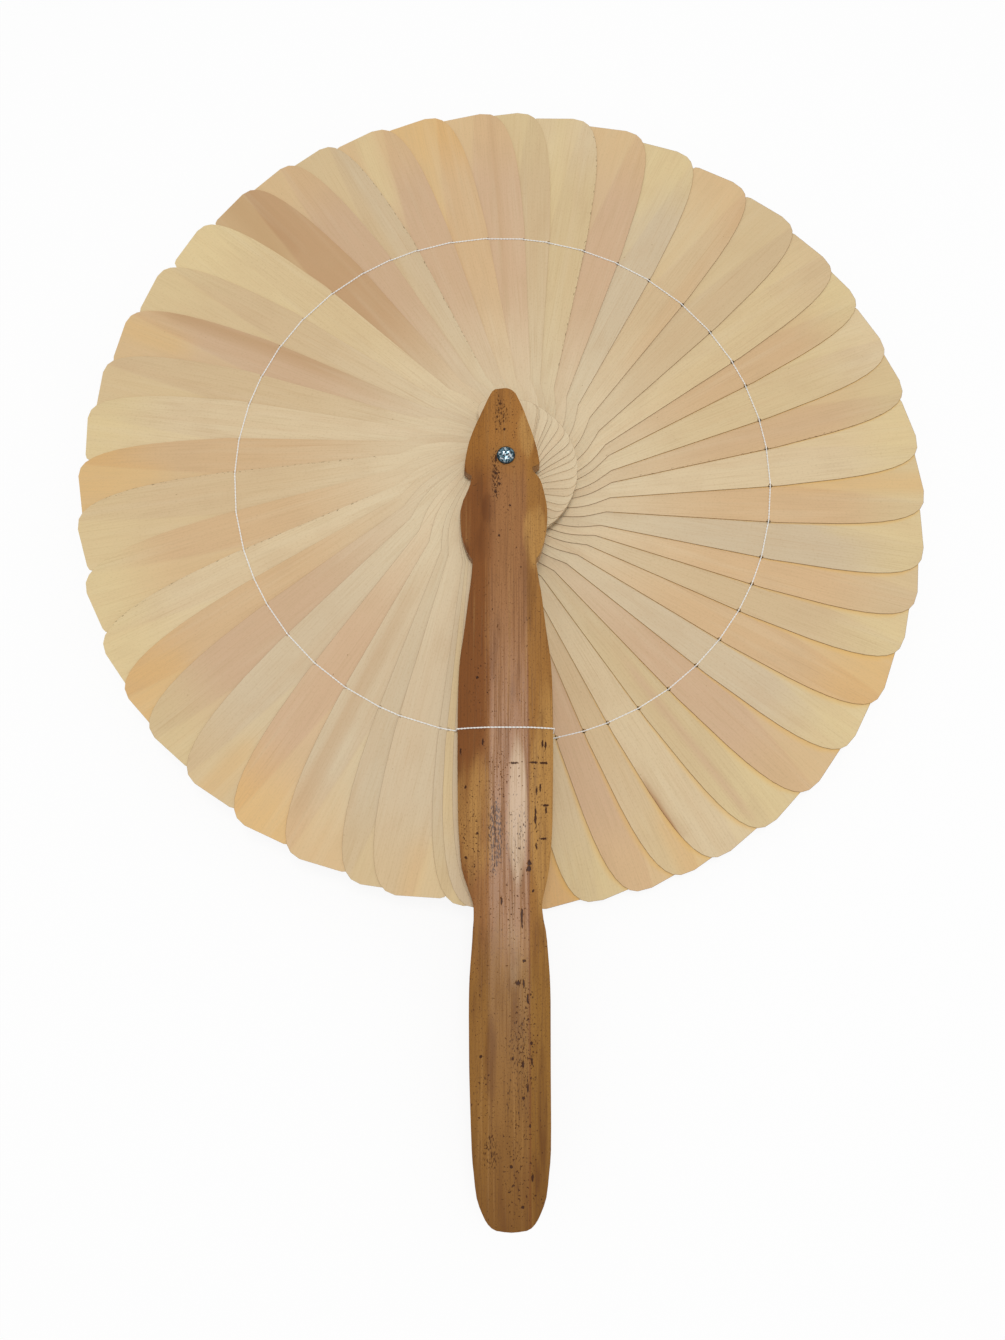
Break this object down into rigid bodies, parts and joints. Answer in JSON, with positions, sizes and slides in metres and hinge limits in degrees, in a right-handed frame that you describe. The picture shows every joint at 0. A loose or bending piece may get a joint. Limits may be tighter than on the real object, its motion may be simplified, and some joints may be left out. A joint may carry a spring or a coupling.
{
  "type": "round folding fan",
  "caption": "Cockade folding fan: thin waisted leaves strung on one thread between two carved bamboo guards, opening to a full circle on a pivot screw.",
  "frame": {"origin": "middle of the open fan's box, on the plane that its rear guard rests on", "axes": "+Y from the handle over the pivot to the top of the disc, +Z out of the front guard"},
  "size_m": [0.3004, 0.3914, 0.0326],
  "materials": {
    "guard_bamboo": "lacquered bamboo, satin",
    "leaf_wood": "dried leaf sheath, ribbed, matte",
    "screw_steel": "bright zinc",
    "thread_cotton": "twisted cotton, matte"
  },
  "bodies": {
    "rear_stick": {"rear_guard": "guard_bamboo", "pivot_screw": "screw_steel", "screw_washer": "screw_steel", "screw_nut": "screw_steel", "binding_thread": "thread_cotton"},
    "front_stick": {"front_guard": "guard_bamboo"},
    "slip_01": {"leaf_01": "leaf_wood"},
    "slip_02": {"leaf_02": "leaf_wood"},
    "slip_03": {"leaf_03": "leaf_wood"},
    "slip_04": {"leaf_04": "leaf_wood"},
    "slip_05": {"leaf_05": "leaf_wood"},
    "slip_06": {"leaf_06": "leaf_wood"},
    "slip_07": {"leaf_07": "leaf_wood"},
    "slip_08": {"leaf_08": "leaf_wood"},
    "slip_09": {"leaf_09": "leaf_wood"},
    "slip_10": {"leaf_10": "leaf_wood"},
    "slip_11": {"leaf_11": "leaf_wood"},
    "slip_12": {"leaf_12": "leaf_wood"},
    "slip_13": {"leaf_13": "leaf_wood"},
    "slip_14": {"leaf_14": "leaf_wood"},
    "slip_15": {"leaf_15": "leaf_wood"},
    "slip_16": {"leaf_16": "leaf_wood"},
    "slip_17": {"leaf_17": "leaf_wood"},
    "slip_18": {"leaf_18": "leaf_wood"},
    "slip_19": {"leaf_19": "leaf_wood"},
    "slip_20": {"leaf_20": "leaf_wood"},
    "slip_21": {"leaf_21": "leaf_wood"},
    "slip_22": {"leaf_22": "leaf_wood"},
    "slip_23": {"leaf_23": "leaf_wood"},
    "slip_24": {"leaf_24": "leaf_wood"},
    "slip_25": {"leaf_25": "leaf_wood"},
    "slip_26": {"leaf_26": "leaf_wood"},
    "slip_27": {"leaf_27": "leaf_wood"},
    "slip_28": {"leaf_28": "leaf_wood"},
    "slip_29": {"leaf_29": "leaf_wood"},
    "slip_30": {"leaf_30": "leaf_wood"},
    "slip_31": {"leaf_31": "leaf_wood"},
    "slip_32": {"leaf_32": "leaf_wood"},
    "slip_33": {"leaf_33": "leaf_wood"},
    "slip_34": {"leaf_34": "leaf_wood"},
    "slip_35": {"leaf_35": "leaf_wood"},
    "slip_36": {"leaf_36": "leaf_wood"},
    "slip_37": {"leaf_37": "leaf_wood"},
    "slip_38": {"leaf_38": "leaf_wood"},
    "slip_39": {"leaf_39": "leaf_wood"},
    "slip_40": {"leaf_40": "leaf_wood"},
    "slip_41": {"leaf_41": "leaf_wood"},
    "slip_42": {"leaf_42": "leaf_wood"},
    "slip_43": {"leaf_43": "leaf_wood"},
    "slip_44": {"leaf_44": "leaf_wood"},
    "slip_45": {"leaf_45": "leaf_wood"},
    "slip_46": {"leaf_46": "leaf_wood"},
    "slip_47": {"leaf_47": "leaf_wood"},
    "slip_48": {"leaf_48": "leaf_wood"},
    "slip_49": {"leaf_49": "leaf_wood"}
  },
  "joints": [
    {"name": "fan_close", "type": "hinge", "parent": "rear_stick", "child": "front_stick", "pos_m": [0, 0.04475, 0.0154], "axis": [0, 0, -1], "range_deg": [0, 360], "deforming": ["binding_thread"]},
    {"name": "leaf_01_turn", "type": "hinge", "parent": "rear_stick", "child": "slip_01", "pos_m": [0, 0.04475, 0.0154], "axis": [0, 0, -1], "range_deg": [0, 358.9]},
    {"name": "leaf_02_turn", "type": "hinge", "parent": "rear_stick", "child": "slip_02", "pos_m": [0, 0.04475, 0.0154], "axis": [0, 0, -1], "range_deg": [0, 357.35]},
    {"name": "leaf_03_turn", "type": "hinge", "parent": "rear_stick", "child": "slip_03", "pos_m": [0, 0.04475, 0.0154], "axis": [0, 0, -1], "range_deg": [0, 355.75]},
    {"name": "leaf_04_turn", "type": "hinge", "parent": "rear_stick", "child": "slip_04", "pos_m": [0, 0.04475, 0.0154], "axis": [0, 0, -1], "range_deg": [0, 347.4]},
    {"name": "leaf_05_turn", "type": "hinge", "parent": "rear_stick", "child": "slip_05", "pos_m": [0, 0.04475, 0.0154], "axis": [0, 0, -1], "range_deg": [0, 342.95]},
    {"name": "leaf_06_turn", "type": "hinge", "parent": "rear_stick", "child": "slip_06", "pos_m": [0, 0.04475, 0.0154], "axis": [0, 0, -1], "range_deg": [0, 334.8]},
    {"name": "leaf_07_turn", "type": "hinge", "parent": "rear_stick", "child": "slip_07", "pos_m": [0, 0.04475, 0.0154], "axis": [0, 0, -1], "range_deg": [0, 326.75]},
    {"name": "leaf_08_turn", "type": "hinge", "parent": "rear_stick", "child": "slip_08", "pos_m": [0, 0.04475, 0.0154], "axis": [0, 0, -1], "range_deg": [0, 318.4]},
    {"name": "leaf_09_turn", "type": "hinge", "parent": "rear_stick", "child": "slip_09", "pos_m": [0, 0.04475, 0.0154], "axis": [0, 0, -1], "range_deg": [0, 310.45]},
    {"name": "leaf_10_turn", "type": "hinge", "parent": "rear_stick", "child": "slip_10", "pos_m": [0, 0.04475, 0.0154], "axis": [0, 0, -1], "range_deg": [0, 304.25]},
    {"name": "leaf_11_turn", "type": "hinge", "parent": "rear_stick", "child": "slip_11", "pos_m": [0, 0.04475, 0.0154], "axis": [0, 0, -1], "range_deg": [0, 297.4]},
    {"name": "leaf_12_turn", "type": "hinge", "parent": "rear_stick", "child": "slip_12", "pos_m": [0, 0.04475, 0.0154], "axis": [0, 0, -1], "range_deg": [0, 288.6]},
    {"name": "leaf_13_turn", "type": "hinge", "parent": "rear_stick", "child": "slip_13", "pos_m": [0, 0.04475, 0.0154], "axis": [0, 0, -1], "range_deg": [0, 279.55]},
    {"name": "leaf_14_turn", "type": "hinge", "parent": "rear_stick", "child": "slip_14", "pos_m": [0, 0.04475, 0.0154], "axis": [0, 0, -1], "range_deg": [0, 271.9]},
    {"name": "leaf_15_turn", "type": "hinge", "parent": "rear_stick", "child": "slip_15", "pos_m": [0, 0.04475, 0.0154], "axis": [0, 0, -1], "range_deg": [0, 263.3]},
    {"name": "leaf_16_turn", "type": "hinge", "parent": "rear_stick", "child": "slip_16", "pos_m": [0, 0.04475, 0.0154], "axis": [0, 0, -1], "range_deg": [0, 256.25]},
    {"name": "leaf_17_turn", "type": "hinge", "parent": "rear_stick", "child": "slip_17", "pos_m": [0, 0.04475, 0.0154], "axis": [0, 0, -1], "range_deg": [0, 248.2]},
    {"name": "leaf_18_turn", "type": "hinge", "parent": "rear_stick", "child": "slip_18", "pos_m": [0, 0.04475, 0.0154], "axis": [0, 0, -1], "range_deg": [0, 239.9]},
    {"name": "leaf_19_turn", "type": "hinge", "parent": "rear_stick", "child": "slip_19", "pos_m": [0, 0.04475, 0.0154], "axis": [0, 0, -1], "range_deg": [0, 230.95]},
    {"name": "leaf_20_turn", "type": "hinge", "parent": "rear_stick", "child": "slip_20", "pos_m": [0, 0.04475, 0.0154], "axis": [0, 0, -1], "range_deg": [0, 222.35]},
    {"name": "leaf_21_turn", "type": "hinge", "parent": "rear_stick", "child": "slip_21", "pos_m": [0, 0.04475, 0.0154], "axis": [0, 0, -1], "range_deg": [0, 215.55]},
    {"name": "leaf_22_turn", "type": "hinge", "parent": "rear_stick", "child": "slip_22", "pos_m": [0, 0.04475, 0.0154], "axis": [0, 0, -1], "range_deg": [0, 209.05]},
    {"name": "leaf_23_turn", "type": "hinge", "parent": "rear_stick", "child": "slip_23", "pos_m": [0, 0.04475, 0.0154], "axis": [0, 0, -1], "range_deg": [0, 200.95]},
    {"name": "leaf_24_turn", "type": "hinge", "parent": "rear_stick", "child": "slip_24", "pos_m": [0, 0.04475, 0.0154], "axis": [0, 0, -1], "range_deg": [0, 192.85]},
    {"name": "leaf_25_turn", "type": "hinge", "parent": "rear_stick", "child": "slip_25", "pos_m": [0, 0.04475, 0.0154], "axis": [0, 0, -1], "range_deg": [0, 184.65]},
    {"name": "leaf_26_turn", "type": "hinge", "parent": "rear_stick", "child": "slip_26", "pos_m": [0, 0.04475, 0.0154], "axis": [0, 0, -1], "range_deg": [0, 179.1]},
    {"name": "leaf_27_turn", "type": "hinge", "parent": "rear_stick", "child": "slip_27", "pos_m": [0, 0.04475, 0.0154], "axis": [0, 0, -1], "range_deg": [0, 170.85]},
    {"name": "leaf_28_turn", "type": "hinge", "parent": "rear_stick", "child": "slip_28", "pos_m": [0, 0.04475, 0.0154], "axis": [0, 0, -1], "range_deg": [0, 162.75]},
    {"name": "leaf_29_turn", "type": "hinge", "parent": "rear_stick", "child": "slip_29", "pos_m": [0, 0.04475, 0.0154], "axis": [0, 0, -1], "range_deg": [0, 154.6]},
    {"name": "leaf_30_turn", "type": "hinge", "parent": "rear_stick", "child": "slip_30", "pos_m": [0, 0.04475, 0.0154], "axis": [0, 0, -1], "range_deg": [0, 145.1]},
    {"name": "leaf_31_turn", "type": "hinge", "parent": "rear_stick", "child": "slip_31", "pos_m": [0, 0.04475, 0.0154], "axis": [0, 0, -1], "range_deg": [0, 136.1]},
    {"name": "leaf_32_turn", "type": "hinge", "parent": "rear_stick", "child": "slip_32", "pos_m": [0, 0.04475, 0.0154], "axis": [0, 0, -1], "range_deg": [0, 127.5]},
    {"name": "leaf_33_turn", "type": "hinge", "parent": "rear_stick", "child": "slip_33", "pos_m": [0, 0.04475, 0.0154], "axis": [0, 0, -1], "range_deg": [0, 121.25]},
    {"name": "leaf_34_turn", "type": "hinge", "parent": "rear_stick", "child": "slip_34", "pos_m": [0, 0.04475, 0.0154], "axis": [0, 0, -1], "range_deg": [0, 112.65]},
    {"name": "leaf_35_turn", "type": "hinge", "parent": "rear_stick", "child": "slip_35", "pos_m": [0, 0.04475, 0.0154], "axis": [0, 0, -1], "range_deg": [0, 105.9]},
    {"name": "leaf_36_turn", "type": "hinge", "parent": "rear_stick", "child": "slip_36", "pos_m": [0, 0.04475, 0.0154], "axis": [0, 0, -1], "range_deg": [0, 97.3]},
    {"name": "leaf_37_turn", "type": "hinge", "parent": "rear_stick", "child": "slip_37", "pos_m": [0, 0.04475, 0.0154], "axis": [0, 0, -1], "range_deg": [0, 89.2]},
    {"name": "leaf_38_turn", "type": "hinge", "parent": "rear_stick", "child": "slip_38", "pos_m": [0, 0.04475, 0.0154], "axis": [0, 0, -1], "range_deg": [0, 81]},
    {"name": "leaf_39_turn", "type": "hinge", "parent": "rear_stick", "child": "slip_39", "pos_m": [0, 0.04475, 0.0154], "axis": [0, 0, -1], "range_deg": [0, 74.65]},
    {"name": "leaf_40_turn", "type": "hinge", "parent": "rear_stick", "child": "slip_40", "pos_m": [0, 0.04475, 0.0154], "axis": [0, 0, -1], "range_deg": [0, 68.1]},
    {"name": "leaf_41_turn", "type": "hinge", "parent": "rear_stick", "child": "slip_41", "pos_m": [0, 0.04475, 0.0154], "axis": [0, 0, -1], "range_deg": [0, 60.5]},
    {"name": "leaf_42_turn", "type": "hinge", "parent": "rear_stick", "child": "slip_42", "pos_m": [0, 0.04475, 0.0154], "axis": [0, 0, -1], "range_deg": [0, 52.95]},
    {"name": "leaf_43_turn", "type": "hinge", "parent": "rear_stick", "child": "slip_43", "pos_m": [0, 0.04475, 0.0154], "axis": [0, 0, -1], "range_deg": [0, 45.25]},
    {"name": "leaf_44_turn", "type": "hinge", "parent": "rear_stick", "child": "slip_44", "pos_m": [0, 0.04475, 0.0154], "axis": [0, 0, -1], "range_deg": [0, 37.75]},
    {"name": "leaf_45_turn", "type": "hinge", "parent": "rear_stick", "child": "slip_45", "pos_m": [0, 0.04475, 0.0154], "axis": [0, 0, -1], "range_deg": [0, 30.55]},
    {"name": "leaf_46_turn", "type": "hinge", "parent": "rear_stick", "child": "slip_46", "pos_m": [0, 0.04475, 0.0154], "axis": [0, 0, -1], "range_deg": [0, 25.35]},
    {"name": "leaf_47_turn", "type": "hinge", "parent": "rear_stick", "child": "slip_47", "pos_m": [0, 0.04475, 0.0154], "axis": [0, 0, -1], "range_deg": [0, 19.5]},
    {"name": "leaf_48_turn", "type": "hinge", "parent": "rear_stick", "child": "slip_48", "pos_m": [0, 0.04475, 0.0154], "axis": [0, 0, -1], "range_deg": [0, 13.2]},
    {"name": "leaf_49_turn", "type": "hinge", "parent": "rear_stick", "child": "slip_49", "pos_m": [0, 0.04475, 0.0154], "axis": [0, 0, -1], "range_deg": [0, 6]}
  ],
  "couplings": [
    {"joint": "leaf_01_turn", "follows": "fan_close", "ratio": 0.99556},
    {"joint": "leaf_02_turn", "follows": "fan_close", "ratio": 0.99125},
    {"joint": "leaf_03_turn", "follows": "fan_close", "ratio": 0.98681},
    {"joint": "leaf_04_turn", "follows": "fan_close", "ratio": 0.96361},
    {"joint": "leaf_05_turn", "follows": "fan_close", "ratio": 0.95125},
    {"joint": "leaf_06_turn", "follows": "fan_close", "ratio": 0.92861},
    {"joint": "leaf_07_turn", "follows": "fan_close", "ratio": 0.90625},
    {"joint": "leaf_08_turn", "follows": "fan_close", "ratio": 0.88306},
    {"joint": "leaf_09_turn", "follows": "fan_close", "ratio": 0.86097},
    {"joint": "leaf_10_turn", "follows": "fan_close", "ratio": 0.84375},
    {"joint": "leaf_11_turn", "follows": "fan_close", "ratio": 0.82472},
    {"joint": "leaf_12_turn", "follows": "fan_close", "ratio": 0.80028},
    {"joint": "leaf_13_turn", "follows": "fan_close", "ratio": 0.77514},
    {"joint": "leaf_14_turn", "follows": "fan_close", "ratio": 0.75389},
    {"joint": "leaf_15_turn", "follows": "fan_close", "ratio": 0.73},
    {"joint": "leaf_16_turn", "follows": "fan_close", "ratio": 0.71042},
    {"joint": "leaf_17_turn", "follows": "fan_close", "ratio": 0.68806},
    {"joint": "leaf_18_turn", "follows": "fan_close", "ratio": 0.665},
    {"joint": "leaf_19_turn", "follows": "fan_close", "ratio": 0.64014},
    {"joint": "leaf_20_turn", "follows": "fan_close", "ratio": 0.61625},
    {"joint": "leaf_21_turn", "follows": "fan_close", "ratio": 0.59736},
    {"joint": "leaf_22_turn", "follows": "fan_close", "ratio": 0.57931},
    {"joint": "leaf_23_turn", "follows": "fan_close", "ratio": 0.55681},
    {"joint": "leaf_24_turn", "follows": "fan_close", "ratio": 0.53431},
    {"joint": "leaf_25_turn", "follows": "fan_close", "ratio": 0.51153},
    {"joint": "leaf_26_turn", "follows": "fan_close", "ratio": 0.49611},
    {"joint": "leaf_27_turn", "follows": "fan_close", "ratio": 0.47319},
    {"joint": "leaf_28_turn", "follows": "fan_close", "ratio": 0.45069},
    {"joint": "leaf_29_turn", "follows": "fan_close", "ratio": 0.42806},
    {"joint": "leaf_30_turn", "follows": "fan_close", "ratio": 0.40167},
    {"joint": "leaf_31_turn", "follows": "fan_close", "ratio": 0.37667},
    {"joint": "leaf_32_turn", "follows": "fan_close", "ratio": 0.35278},
    {"joint": "leaf_33_turn", "follows": "fan_close", "ratio": 0.33542},
    {"joint": "leaf_34_turn", "follows": "fan_close", "ratio": 0.31153},
    {"joint": "leaf_35_turn", "follows": "fan_close", "ratio": 0.29278},
    {"joint": "leaf_36_turn", "follows": "fan_close", "ratio": 0.26889},
    {"joint": "leaf_37_turn", "follows": "fan_close", "ratio": 0.24639},
    {"joint": "leaf_38_turn", "follows": "fan_close", "ratio": 0.22361},
    {"joint": "leaf_39_turn", "follows": "fan_close", "ratio": 0.20597},
    {"joint": "leaf_40_turn", "follows": "fan_close", "ratio": 0.18778},
    {"joint": "leaf_41_turn", "follows": "fan_close", "ratio": 0.16667},
    {"joint": "leaf_42_turn", "follows": "fan_close", "ratio": 0.14569},
    {"joint": "leaf_43_turn", "follows": "fan_close", "ratio": 0.12431},
    {"joint": "leaf_44_turn", "follows": "fan_close", "ratio": 0.10347},
    {"joint": "leaf_45_turn", "follows": "fan_close", "ratio": 0.08347},
    {"joint": "leaf_46_turn", "follows": "fan_close", "ratio": 0.06903},
    {"joint": "leaf_47_turn", "follows": "fan_close", "ratio": 0.05278},
    {"joint": "leaf_48_turn", "follows": "fan_close", "ratio": 0.03528},
    {"joint": "leaf_49_turn", "follows": "fan_close", "ratio": 0.01528}
  ]
}
